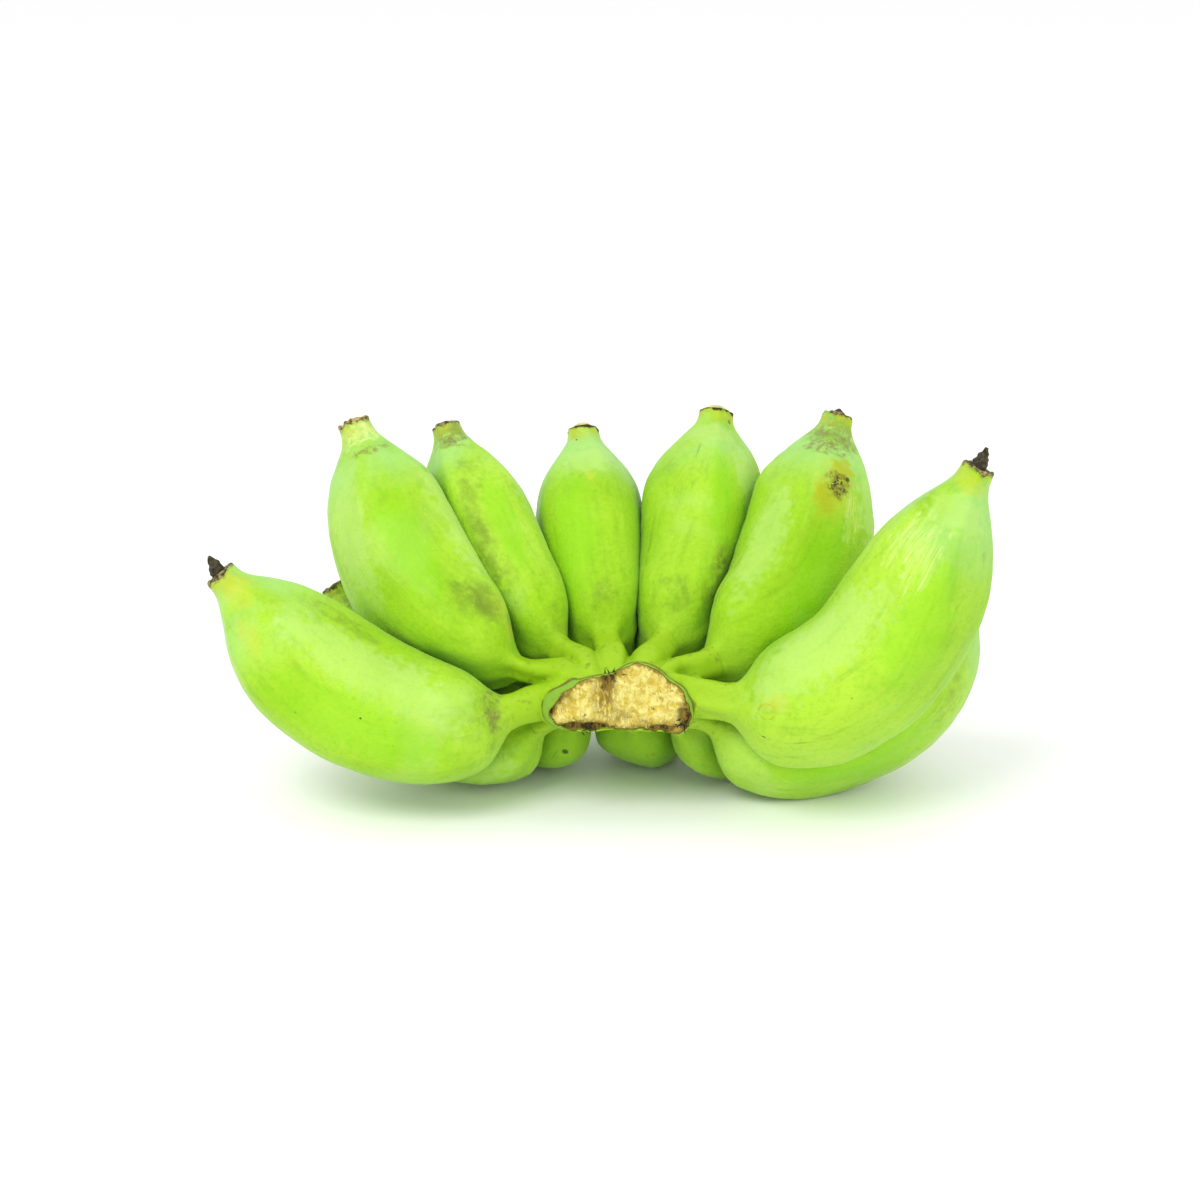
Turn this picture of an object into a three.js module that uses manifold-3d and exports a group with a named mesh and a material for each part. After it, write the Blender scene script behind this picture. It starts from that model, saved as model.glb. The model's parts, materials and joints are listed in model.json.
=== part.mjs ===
// A hand of short green cooking bananas: twelve fingers in two rows on one crown, lying on its
// lower row. Millimetres, +Z up; the cut face of the crown faces -Y and the fingers fan out behind it.
import * as THREE from "three";
import { mergeVertices } from "three/addons/utils/BufferGeometryUtils.js";
import Module from "manifold-3d";

// ---- Driving dimensions ----

const PEEL_GREEN = 0x9ad62c;
const CROWN_TAN = 0xc9a24e;
const STYLE_BROWN = 0x3a2d22;

// Space left between pieces that touch on the real fruit.
const GAP = 0.45;

// How finely a finger is divided: round it, and along its middle line.
const SIDES = 20;
const SPINE_STEPS = 48;

// A banana is five-sided: how far its ridges stand out, as a share of its radius.
const RIDGES = 5;
const RIDGE_HEIGHT = 0.028;

// Where fingers press together: the space kept at the contact, and how gradually the skin
// turns from its own round shape into the flattened contact.
const PRESS_GAP = 1.1;
const SOFTNESS = 1.2;

// The contact is looked for by halving, from this share of the free radius to this far outside it.
const CONTACT_SEARCH = { from: 0.3, beyond: 8, halvings: 12 };

// The outline of every finger: share of its length from the crown, share of its greatest radius.
// A thin pedicel, a shoulder, a long belly and a neck that narrows to the blunt tip.
const FINGER_PROFILE = [
  [0, 0.31], [0.06, 0.28], [0.11, 0.285], [0.135, 0.35], [0.155, 0.49], [0.18, 0.67], [0.215, 0.82],
  [0.27, 0.93], [0.36, 0.99], [0.48, 1], [0.6, 0.985], [0.68, 0.945], [0.745, 0.865], [0.8, 0.755],
  [0.85, 0.61], [0.89, 0.465], [0.925, 0.345], [0.96, 0.275], [0.99, 0.25],
];

// The crown: the cushion that carries the pedicels, cut straight through at the front (y). Behind the
// cut it swells, over this share of its depth, and draws in; the fingers are rooted in it.
const CROWN = {
  halfWidth: 23, halfHeight: 10.5, depth: 24, y: -40, z: 34,
  swell: 0.2, swellShare: 0.83, draw: 0.4,
  bands: 6, outlineSegments: 8,
};

// Where a finger is rooted: how far out across the crown, how far up or down, and how deep behind
// the cut face. Fingers that run straight back start deeper than those that run sideways.
const ROOT = { across: 0.88, height: 0.75, upperDepth: 0.42, lowerDepth: 0.48, backwardDepth: 0.25 };

// Every finger. around: its place round the crown, 0 at the right and 90 on top. heading and pitch:
// the way its pedicel leaves, in degrees, heading 0 straight back and 90 to the right. turn and rise:
// how far heading and pitch change by the share of its length given as curl. girth: its greatest
// diameter. style: length of the dried flower end still on its tip, where there is one.
const FINGERS = [
  { name: "upper_1", around: 184, heading: -88, turn: 2, pitch: -19.5, rise: 68, curl: 0.82,
    length: 123.5, girth: 45, style: 5 },
  { name: "upper_2", around: 150, heading: -63, turn: 19, pitch: 6, rise: 51, curl: 0.7,
    length: 118, girth: 45.5 },
  { name: "upper_3", around: 120, heading: -42, turn: 10, pitch: 8, rise: 48, curl: 0.7,
    length: 106, girth: 41 },
  { name: "upper_4", around: 95, heading: -6, turn: -2, pitch: 6, rise: 48, curl: 0.7,
    length: 100, girth: 40 },
  { name: "upper_5", around: 60, heading: 20.5, turn: -6, pitch: 6, rise: 50, curl: 0.7,
    length: 109, girth: 44 },
  { name: "upper_6", around: 28, heading: 53, turn: -23, pitch: 6, rise: 50, curl: 0.7,
    length: 118, girth: 45, style: 2.5 },
  { name: "upper_7", around: 4, heading: 97, turn: -10, pitch: -12, rise: 77.5, curl: 0.67,
    length: 133.5, girth: 44.5, style: 6.5 },
  { name: "lower_1", around: 220, heading: -59, turn: -7, pitch: -35.6, rise: 88, curl: 0.8,
    length: 109, girth: 38 },
  { name: "lower_2", around: 240, heading: -28, turn: 6, pitch: -30.3, rise: 60, curl: 0.8,
    length: 108, girth: 37 },
  { name: "lower_3", around: 278, heading: 12, turn: 0, pitch: -30, rise: 60, curl: 0.8,
    length: 106, girth: 37 },
  { name: "lower_4", around: 302, heading: 51, turn: 0, pitch: -29.5, rise: 62, curl: 0.8,
    length: 110, girth: 36 },
  { name: "lower_5", around: 330, heading: 73, turn: 5, pitch: -29, rise: 96, curl: 1,
    length: 124.5, girth: 42 },
];

// A dried style: radius at its foot and share of that radius left at its point.
const STYLE = { radius: 2.4, point: 0.35, sides: 10, bands: 4, lean: 0.25 };

// Points of a solid closer together than this are one point.
const WELD = 1e-3;

// ---- A finger ----

const radians = THREE.MathUtils.degToRad;

function rootOf({ around, heading, name }) {
  const angle = radians(around);
  const rowDepth = name.startsWith("upper") ? ROOT.upperDepth : ROOT.lowerDepth;
  return new THREE.Vector3(
    CROWN.halfWidth * ROOT.across * Math.cos(angle),
    CROWN.y + CROWN.depth * (rowDepth + ROOT.backwardDepth * Math.cos(radians(heading))),
    CROWN.z + CROWN.halfHeight * ROOT.height * Math.sin(angle),
  );
}

// The middle line of a finger: points with the direction along it and the two directions across it.
function spineOf(finger) {
  const point = rootOf(finger);
  const spine = [];
  for (let i = 0; i <= SPINE_STEPS; i++) {
    const s = i / SPINE_STEPS;
    const bend = THREE.MathUtils.smoothstep(s, 0, finger.curl);
    const heading = radians(finger.heading + finger.turn * bend);
    const pitch = radians(finger.pitch + finger.rise * bend);
    const level = Math.cos(pitch);
    const along = new THREE.Vector3(Math.sin(heading) * level, Math.cos(heading) * level, Math.sin(pitch));
    const side = new THREE.Vector3(Math.cos(heading), -Math.sin(heading), 0);
    const up = new THREE.Vector3().crossVectors(side, along);
    spine.push({ s, point: point.clone(), along, side, up });
    point.addScaledVector(along, finger.length / SPINE_STEPS);
  }
  return spine;
}

// The middle line at any share of the length, between two of its points.
function stopAt(spine, s) {
  const at = THREE.MathUtils.clamp(s, 0, 1) * SPINE_STEPS;
  const i = Math.min(Math.floor(at), SPINE_STEPS - 1);
  const between = (key) => spine[i][key].clone().lerp(spine[i + 1][key], at - i);
  const [side, up, along] = ["side", "up", "along"].map((key) => between(key).normalize());
  return { point: between("point"), side, up, along };
}

function radiusAt({ girth }, s) {
  const next = FINGER_PROFILE.findIndex(([share]) => s <= share);
  if (next === -1) return (FINGER_PROFILE.at(-1)[1] * girth) / 2;
  if (next === 0) return (FINGER_PROFILE[0][1] * girth) / 2;
  const [s0, r0] = FINGER_PROFILE[next - 1];
  const [s1, r1] = FINGER_PROFILE[next];
  return (THREE.MathUtils.mapLinear(s, s0, s1, r0, r1) * girth) / 2;
}

// How far a point lies outside another finger, measured from that finger's middle line.
function distanceOutside(point, { finger, spine }) {
  let nearest = Infinity;
  for (const stop of spine) {
    const skin = radiusAt(finger, stop.s) * (1 + RIDGE_HEIGHT);
    nearest = Math.min(nearest, point.distanceTo(stop.point) - skin);
  }
  return nearest;
}

// Fingers grow against each other: where two would meet, each stops at the surface midway.
// Returns how far from the middle line the skin lies in one direction.
function pressed(reach, centre, outward, others) {
  const full = reach * (1 + RIDGE_HEIGHT);
  let low = reach * CONTACT_SEARCH.from;
  let high = reach + CONTACT_SEARCH.beyond;
  for (let pass = 0; pass < CONTACT_SEARCH.halvings; pass++) {
    const middle = (low + high) / 2;
    const at = centre.clone().addScaledVector(outward, middle);
    const free = Math.min(...others.map((other) => distanceOutside(at, other)));
    if (middle - full + PRESS_GAP > free) high = middle;
    else low = middle;
  }
  return -SOFTNESS * Math.log(Math.exp(-reach / SOFTNESS) + Math.exp(-low / SOFTNESS));
}

// A lathed finger, then bent onto its middle line and pressed against its neighbours.
// The clearance makes it that much thicker, for the socket it needs in the crown.
function fingerGeometry({ finger, spine }, others, clearance = 0) {
  const profile = FINGER_PROFILE.map(([s, r]) => new THREE.Vector2((r * finger.girth) / 2, s));
  profile.unshift(new THREE.Vector2(0, 0));
  profile.push(new THREE.Vector2(0, 1));
  const geometry = new THREE.LatheGeometry(profile, SIDES);
  const position = geometry.getAttribute("position");
  for (let i = 0; i < position.count; i++) {
    const radius = Math.hypot(position.getX(i), position.getZ(i));
    const angle = Math.atan2(position.getZ(i), position.getX(i));
    const { point, side, up, along } = stopAt(spine, position.getY(i));
    const outward = side.multiplyScalar(Math.cos(angle)).addScaledVector(up, Math.sin(angle));
    const ridged = radius * (1 + RIDGE_HEIGHT * Math.cos(RIDGES * angle));
    const reach = radius > 0 ? pressed(ridged, point, outward, others) + clearance : 0;
    point.addScaledVector(outward, reach);
    if (position.getY(i) === 0) point.addScaledVector(along, -clearance);
    position.setXYZ(i, point.x, point.y, point.z);
  }
  return geometry;
}

// ---- The dried flower ends ----

// A short tapering stalk that stands on the tip of a finger and leans over upwards.
function styleGeometry({ finger, spine }) {
  const { radius, point, sides, bands, lean } = STYLE;
  const geometry = new THREE.CylinderGeometry(radius * point, radius, finger.style, sides, bands);
  geometry.translate(0, finger.style / 2 + GAP, 0);
  const tip = spine.at(-1);
  const position = geometry.getAttribute("position");
  for (let i = 0; i < position.count; i++) {
    const height = position.getY(i);
    const leaning = lean * finger.style * (height / finger.style) ** 2;
    const at = tip.point.clone().addScaledVector(tip.along, height);
    at.addScaledVector(tip.side, position.getX(i)).addScaledVector(tip.up, position.getZ(i) + leaning);
    position.setXYZ(i, at.x, at.y, at.z);
  }
  return geometry;
}

// ---- The crown ----

// The outline of the cut face: a bean with a fuller top and a hollow in its lower edge.
// It is drawn upside down, because laying the extrusion back along +Y turns it over.
function crownOutline({ halfWidth: w, halfHeight: h }) {
  const outline = new THREE.Shape();
  outline.moveTo(-w, 0.2 * h);
  outline.bezierCurveTo(-w, -0.6 * h, -0.6 * w, -h, 0, -h);
  outline.bezierCurveTo(0.6 * w, -h, w, -0.6 * h, w, 0.2 * h);
  outline.bezierCurveTo(w, 0.9 * h, 0.6 * w, h, 0, 0.8 * h);
  outline.bezierCurveTo(-0.6 * w, h, -w, 0.9 * h, -w, 0.2 * h);
  return outline;
}

// The solid cushion, before the sockets of the fingers are taken out of it.
function cushionGeometry() {
  const { depth, swell, swellShare, draw, y, z } = CROWN;
  const extrusion = { depth, steps: CROWN.bands, curveSegments: CROWN.outlineSegments, bevelEnabled: false };
  const geometry = new THREE.ExtrudeGeometry(crownOutline(CROWN), extrusion);
  geometry.rotateX(-Math.PI / 2);
  const position = geometry.getAttribute("position");
  for (let i = 0; i < position.count; i++) {
    const t = position.getY(i) / depth;
    const size = 1 + swell * Math.sin(Math.PI * Math.min(1, t / swellShare)) - draw * t * t;
    position.setXYZ(i, position.getX(i) * size, y + depth * t, z + position.getZ(i) * size);
  }
  return geometry;
}

const wasm = await Module();
wasm.setup();

function solidOf(geometry) {
  const bare = geometry.clone();
  bare.deleteAttribute("normal");
  bare.deleteAttribute("uv");
  const merged = mergeVertices(bare, WELD);
  const triVerts = new Uint32Array(merged.index.array);
  const vertProperties = merged.attributes.position.array;
  return new wasm.Manifold(new wasm.Mesh({ numProp: 3, vertProperties, triVerts }));
}

function geometryOf(solid) {
  const { vertProperties, triVerts, numProp } = solid.getMesh();
  const geometry = new THREE.BufferGeometry();
  geometry.setAttribute("position", new THREE.BufferAttribute(new Float32Array(vertProperties), numProp));
  geometry.setIndex(new THREE.BufferAttribute(triVerts, 1));
  return geometry;
}

function crownGeometry(hand) {
  let crown = solidOf(cushionGeometry());
  for (const grown of hand) {
    const others = hand.filter((other) => other !== grown);
    crown = crown.subtract(solidOf(fingerGeometry(grown, others, GAP)));
  }
  const largestFirst = crown.decompose().sort((a, b) => b.volume() - a.volume());
  return geometryOf(largestFirst[0]);
}

// ---- Putting the hand together ----

function piece(name, geometry, color, roughness) {
  const mesh = new THREE.Mesh(geometry, new THREE.MeshStandardMaterial({ color, roughness }));
  mesh.name = name;
  return mesh;
}

const hand = FINGERS.map((finger) => ({ finger, spine: spineOf(finger) }));
const bunch = new THREE.Group();
bunch.name = "bunch_of_bananas";
bunch.add(piece("crown", crownGeometry(hand), CROWN_TAN, 0.9));
for (const grown of hand) {
  const { name, style } = grown.finger;
  const others = hand.filter((other) => other !== grown);
  bunch.add(piece(`finger_${name}`, fingerGeometry(grown, others), PEEL_GREEN, 0.45));
  if (style) bunch.add(piece(`dried_style_${name}`, styleGeometry(grown), STYLE_BROWN, 0.95));
}

// Stand the hand on z = 0, centred over the origin.
const box = new THREE.Box3().setFromObject(bunch);
const centre = box.getCenter(new THREE.Vector3());
for (const mesh of bunch.children) mesh.geometry.translate(-centre.x, -centre.y, -box.min.z);

export default bunch;
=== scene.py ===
"""A hand of short green cooking bananas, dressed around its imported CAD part. Metres, +Z up."""
import json
import math

import bpy
import numpy as np
from mathutils import Matrix, Vector

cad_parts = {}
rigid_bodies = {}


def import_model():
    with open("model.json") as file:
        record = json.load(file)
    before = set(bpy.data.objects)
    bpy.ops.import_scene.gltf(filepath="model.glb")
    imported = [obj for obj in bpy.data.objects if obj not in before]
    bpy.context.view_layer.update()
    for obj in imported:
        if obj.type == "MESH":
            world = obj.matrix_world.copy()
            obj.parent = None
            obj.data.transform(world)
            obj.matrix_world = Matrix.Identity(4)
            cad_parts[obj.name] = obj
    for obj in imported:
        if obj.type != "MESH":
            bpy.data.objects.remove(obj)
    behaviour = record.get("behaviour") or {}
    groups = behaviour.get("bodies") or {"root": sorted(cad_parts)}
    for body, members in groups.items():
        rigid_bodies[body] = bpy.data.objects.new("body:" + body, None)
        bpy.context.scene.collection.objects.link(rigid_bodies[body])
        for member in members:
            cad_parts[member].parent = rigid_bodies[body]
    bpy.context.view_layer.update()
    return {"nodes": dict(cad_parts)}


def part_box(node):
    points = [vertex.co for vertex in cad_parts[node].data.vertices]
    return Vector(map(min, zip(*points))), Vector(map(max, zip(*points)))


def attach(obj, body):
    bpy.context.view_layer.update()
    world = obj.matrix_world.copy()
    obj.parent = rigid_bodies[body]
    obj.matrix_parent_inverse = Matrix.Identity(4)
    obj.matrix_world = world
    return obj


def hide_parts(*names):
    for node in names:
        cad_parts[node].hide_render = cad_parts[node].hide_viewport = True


for leftover in list(bpy.data.objects):
    bpy.data.objects.remove(leftover)

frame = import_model()

MM = 0.001
UPPER = [f"upper_{i}" for i in range(1, 8)]
LOWER = [f"lower_{i}" for i in range(1, 6)]

# ---------------------------------------------------------------- camera, lights and floor

# The camera's target is given from the low corner of the crown's box.
CAMERA = {"elevation": 18.0, "distance": 0.8, "lens": 74.0, "target": (0.0199, 0.04, 0.0317)}
SENSOR_WIDTH = 36.0

# Each light: where it stands, its size and its power. Both aim at the middle of the hand.
LIGHTS = {
    "key": ((-0.6, -0.9, 1.3), 0.8, 11.0),
    "fill": ((0.95, -0.9, 0.6), 1.0, 2.6),
}
LIGHTS_AIM = (0.0, 0.0, 0.06)
SKY_STRENGTH = 1.05
FLOOR_HALF_WIDTH = 14.0
FLOOR_GREY = 0.93
FLOOR_ROUGHNESS = 0.7


def add_camera():
    """The camera looks along +Y and down at the cut face of the crown."""
    data = bpy.data.cameras.new("camera")
    data.lens = CAMERA["lens"]
    data.sensor_width = SENSOR_WIDTH
    camera = bpy.data.objects.new("camera", data)
    elevation = math.radians(CAMERA["elevation"])
    back = Vector((0.0, -math.cos(elevation), math.sin(elevation)))
    camera.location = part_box("crown")[0] + Vector(CAMERA["target"]) + back * CAMERA["distance"]
    camera.rotation_euler = (math.radians(90.0) - elevation, 0.0, 0.0)
    bpy.context.scene.collection.objects.link(camera)
    bpy.context.scene.camera = camera


def add_area_light(name, location, size, power):
    data = bpy.data.lights.new(name, "AREA")
    data.shape = "DISK"
    data.size = size
    data.energy = power
    light = bpy.data.objects.new(name, data)
    light.location = location
    light.rotation_euler = (Vector(LIGHTS_AIM) - Vector(location)).to_track_quat("-Z", "Y").to_euler()
    bpy.context.scene.collection.objects.link(light)


def add_studio():
    for name, (location, size, power) in LIGHTS.items():
        add_area_light(name, location, size, power)
    world = bpy.data.worlds.new("studio")
    world.use_nodes = True
    background = world.node_tree.nodes["Background"]
    background.inputs["Color"].default_value = (1.0, 1.0, 1.0, 1.0)
    background.inputs["Strength"].default_value = SKY_STRENGTH
    bpy.context.scene.world = world
    bpy.context.scene.view_settings.view_transform = "Standard"


def add_floor():
    half = FLOOR_HALF_WIDTH
    mesh = bpy.data.meshes.new("floor")
    corners = [(-half, -half, 0.0), (half, -half, 0.0), (half, half, 0.0), (-half, half, 0.0)]
    mesh.from_pydata(corners, [], [(0, 1, 2, 3)])
    material = bpy.data.materials.new("floor")
    material.use_nodes = True
    shader = material.node_tree.nodes["Principled BSDF"]
    shader.inputs["Base Color"].default_value = (FLOOR_GREY, FLOOR_GREY, FLOOR_GREY, 1.0)
    shader.inputs["Roughness"].default_value = FLOOR_ROUGHNESS
    mesh.materials.append(material)
    floor = bpy.data.objects.new("floor", mesh)
    bpy.context.scene.collection.objects.link(floor)


# ---------------------------------------------------------------- small tools

def smoothstep(value, low, high):
    t = np.clip((value - low) / (high - low), 0.0, 1.0)
    return t * t * (3.0 - 2.0 * t)


def waves(points, wavelength, seed, terms=14):
    """Smooth, seeded unevenness: a sum of plane waves in all directions, about -1 to 1."""
    rng = np.random.default_rng(seed)
    directions = rng.normal(size=(terms, 3))
    directions /= np.linalg.norm(directions, axis=1)[:, None]
    directions *= (2.0 * math.pi / wavelength) * rng.uniform(0.6, 1.5, (terms, 1))
    phases = rng.uniform(0.0, 2.0 * math.pi, terms)
    return np.sin(points @ directions.T + phases).sum(-1) / math.sqrt(terms)


def unit(vectors):
    return vectors / np.maximum(np.linalg.norm(vectors, axis=-1, keepdims=True), 1e-12)


def welded(node):
    """Points and triangles of a CAD node, with the points that the file splits joined again."""
    mesh = frame["nodes"][node].data
    points = np.empty(len(mesh.vertices) * 3)
    mesh.vertices.foreach_get("co", points)
    points, where = np.unique(points.reshape(-1, 3).round(6), axis=0, return_inverse=True)
    triangles = np.array([polygon.vertices[:] for polygon in mesh.polygons])
    return points, where.ravel()[triangles]


def tube(rings):
    """Points and faces of a closed tube through these rings."""
    rows, columns = rings.shape[:2]
    points = np.concatenate((rings.reshape(-1, 3), [rings[0].mean(0), rings[-1].mean(0)]))
    faces = []
    for i in range(rows - 1):
        for j in range(columns):
            k = (j + 1) % columns
            faces.append((i * columns + j, i * columns + k, (i + 1) * columns + k, (i + 1) * columns + j))
    first, last = rows * columns, (rows - 1) * columns
    for j in range(columns):
        k = (j + 1) % columns
        faces.append((first, k, j))
        faces.append((first + 1, last + j, last + k))
    return points, faces


def shade_smooth(mesh):
    mesh.polygons.foreach_set("use_smooth", np.ones(len(mesh.polygons), bool))


def add_mesh(name, points, faces, material):
    mesh = bpy.data.meshes.new(name)
    mesh.from_pydata([tuple(p) for p in points], [], faces)
    mesh.materials.append(material)
    shade_smooth(mesh)
    piece = bpy.data.objects.new(name, mesh)
    bpy.context.scene.collection.objects.link(piece)
    return piece


def store(piece, name, values):
    """Keeps one number, or one vector, for each point of a piece, for its material to read."""
    values = np.asarray(values, np.float32)
    kind, key = ("FLOAT_VECTOR", "vector") if values.ndim == 2 else ("FLOAT", "value")
    attribute = piece.data.attributes.new(name, kind, "POINT")
    attribute.data.foreach_set(key, values.ravel())


# ---------------------------------------------------------------- material tools

# How much light surfaces mirror, and its tint. The waxy bloom glows pale where the skin turns away.
GLOSS = 0.25
GLOSS_TINT = (0.8, 1.0, 0.45)
WAX = 0.14
WAX_ROUGHNESS = 0.45
WAX_TINT = (0.75, 1.0, 0.6)


class Nodes:
    """Short names for the shader nodes that the materials below are made of."""

    def __init__(self, name):
        self.material = bpy.data.materials.new(name)
        self.material.use_nodes = True
        self.tree = self.material.node_tree
        self.shader = self.tree.nodes["Principled BSDF"]

    def add(self, kind, settings=None, **inputs):
        node = self.tree.nodes.new(kind)
        for key, value in (settings or {}).items():
            setattr(node, key, value)
        for key, value in inputs.items():
            socket = node.inputs[int(key[1:])] if key[0] == "i" and key[1:].isdigit() else node.inputs[key]
            self.put(socket, value)
        return node

    def put(self, socket, value):
        if isinstance(value, bpy.types.NodeSocket):
            self.tree.links.new(value, socket)
        elif socket.type == "RGBA" and len(value) == 3:
            socket.default_value = (*value, 1.0)
        else:
            socket.default_value = value

    def attribute(self, name, output):
        return self.add("ShaderNodeAttribute", {"attribute_name": name}).outputs[output]

    def place(self):
        return self.add("ShaderNodeTexCoord").outputs["Object"]

    def stretched(self, vector, scale):
        return self.add("ShaderNodeMapping", i0=vector, i3=scale).outputs[0]

    def local(self, vector, spot, size):
        """The vector seen from a spot, in that spot's own directions, and 1 where the size ends."""
        return self.add("ShaderNodeMapping", {"vector_type": "TEXTURE"},
                        i0=vector, i1=spot.to_translation(), i2=spot.to_euler(), i3=size).outputs[0]

    def length(self, vector):
        return self.add("ShaderNodeVectorMath", {"operation": "LENGTH"}, i0=vector).outputs["Value"]

    def noise(self, vector, size, detail=3.0, rough=0.5, warp=0.0):
        """Noise with features about that many metres across, from 0 to 1."""
        node = self.add("ShaderNodeTexNoise", None, Vector=vector, Scale=1.0 / size, Detail=detail,
                        Roughness=rough, Distortion=warp)
        return node.outputs["Fac"]

    def cells(self, vector, size):
        """How far the nearest of many scattered points is, in shares of the size."""
        return self.add("ShaderNodeTexVoronoi", Vector=vector, Scale=1.0 / size).outputs["Distance"]

    def math(self, operation, a, b=0.0):
        return self.add("ShaderNodeMath", {"operation": operation}, i0=a, i1=b).outputs[0]

    def span(self, value, low, high, to_low=0.0, to_high=1.0):
        """The value taken smoothly from low..high to to_low..to_high, and held there outside."""
        if low > high:
            low, high, to_low, to_high = high, low, to_high, to_low
        node = self.add("ShaderNodeMapRange", {"interpolation_type": "SMOOTHSTEP"},
                        i0=value, i1=low, i2=high, i3=to_low, i4=to_high)
        return node.outputs[0]

    def mix(self, amount, a, b):
        return self.add("ShaderNodeMix", {"data_type": "RGBA"}, i0=amount, i6=a, i7=b).outputs[2]

    def times(self, *values):
        result = values[0]
        for value in values[1:]:
            result = self.math("MULTIPLY", result, value)
        return result

    def bump(self, height, distance):
        node = self.add("ShaderNodeBump", None, Height=height, Distance=distance, Strength=1.0)
        return node.outputs["Normal"]

    def finish(self, color, roughness, normal):
        self.put(self.shader.inputs["Base Color"], color)
        self.put(self.shader.inputs["Roughness"], roughness)
        self.put(self.shader.inputs["Specular IOR Level"], GLOSS)
        self.put(self.shader.inputs["Specular Tint"], GLOSS_TINT)
        self.put(self.shader.inputs["Normal"], normal)
        return self.material


# ---------------------------------------------------------------- the skin of a finger

COLUMNS = 112
CAD_COLUMNS = 20
# How much of each wave round a CAD ring is kept: the last ones only hold the facets.
WAVES_KEPT = np.array([1, 1, 1, 1, 1, 1, 0.95, 0.8, 0.55, 0.25, 0.0])


def cad_rings(name):
    """The rings of a CAD finger from crown to tip, each in order round the finger."""
    points, triangles = welded(f"finger_{name}")
    neighbours = [set() for _ in points]
    for a, b, c in triangles:
        neighbours[a].update((b, c))
        neighbours[b].update((a, c))
        neighbours[c].update((a, b))
    crown_middle = np.mean([np.array(corner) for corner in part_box("crown")], axis=0)
    ends = [i for i, near in enumerate(neighbours) if len(near) == CAD_COLUMNS]
    ends.sort(key=lambda i: np.linalg.norm(points[i] - crown_middle))
    layers, seen = [[ends[0]]], {ends[0]}
    while len(seen) < len(points):
        layer = sorted({n for i in layers[-1] for n in neighbours[i]} - seen)
        layers.append(layer)
        seen.update(layer)
    rings = [points[layer] for layer in layers[1:-1]]
    centres = np.array([ring.mean(0) for ring in rings])
    along = unit(np.gradient(centres, axis=0))
    for i, ring in enumerate(rings):
        angle = ring_angles(ring, centres[i], along[i])
        ring = ring[np.argsort(angle)]
        if i:
            turns = [np.sum((np.roll(ring, k, axis=0) - rings[i - 1]) ** 2) for k in range(CAD_COLUMNS)]
            ring = np.roll(ring, int(np.argmin(turns)), axis=0)
        rings[i] = ring
    return np.array(rings)


def ring_angles(points, centre, along):
    """The angle of each point round the finger: 0 to the side, a quarter turn on the upper face."""
    side = unit(np.cross(along, (0.0, 0.0, 1.0)))
    up = np.cross(side, along)
    offset = points - centre
    return np.arctan2((offset * up).sum(-1), (offset * side).sum(-1))


def between_rings(rings, knots, wanted):
    """Smooth curves through the rings, read at the wanted shares of the length."""
    step = np.diff(knots)[:, None, None]
    slope = np.diff(rings, axis=0) / step
    tangent = np.empty_like(rings)
    tangent[0], tangent[-1] = slope[0], slope[-1]
    tangent[1:-1] = (slope[:-1] * step[1:] + slope[1:] * step[:-1]) / (step[1:] + step[:-1])
    i = np.clip(np.searchsorted(knots, wanted, "right") - 1, 0, len(step) - 1)
    t = (wanted - knots[i])[:, None, None] / step[i]
    start = (2 * t**3 - 3 * t**2 + 1) * rings[i] + (t**3 - 2 * t**2 + t) * step[i] * tangent[i]
    end = (3 * t**2 - 2 * t**3) * rings[i + 1] + (t**3 - t**2) * step[i] * tangent[i + 1]
    return start + end


def finer_round(rings, columns):
    """The same rings with more points round them, and without the CAD facets."""
    spectrum = np.fft.rfft(rings, axis=1) * WAVES_KEPT[None, :, None]
    fine = np.zeros((len(rings), columns // 2 + 1, 3), complex)
    fine[:, : spectrum.shape[1]] = spectrum
    return np.fft.irfft(fine, columns, axis=1) * (columns / rings.shape[1])


def grid_normals(skin):
    """Outward directions on a grid of rings."""
    around = np.roll(skin, -1, axis=1) - np.roll(skin, 1, axis=1)
    along = np.gradient(skin, axis=0)
    normals = unit(np.cross(around, along))
    outward = skin - skin.mean(1, keepdims=True)
    flip = np.sign((normals * outward).sum(-1).mean())
    return normals * flip


# How much narrower the neck ends than its CAD.
NECK_END_NARROWING = 0.13

# Rows of points along a finger: they lie closer together from this share of its length on.
NECK_FROM = 0.86
BODY_ROWS = 150
NECK_ROWS = 46
SOOTHING_ROUNDS = 10
FIRST_FINGER_SEED = 100


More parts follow.
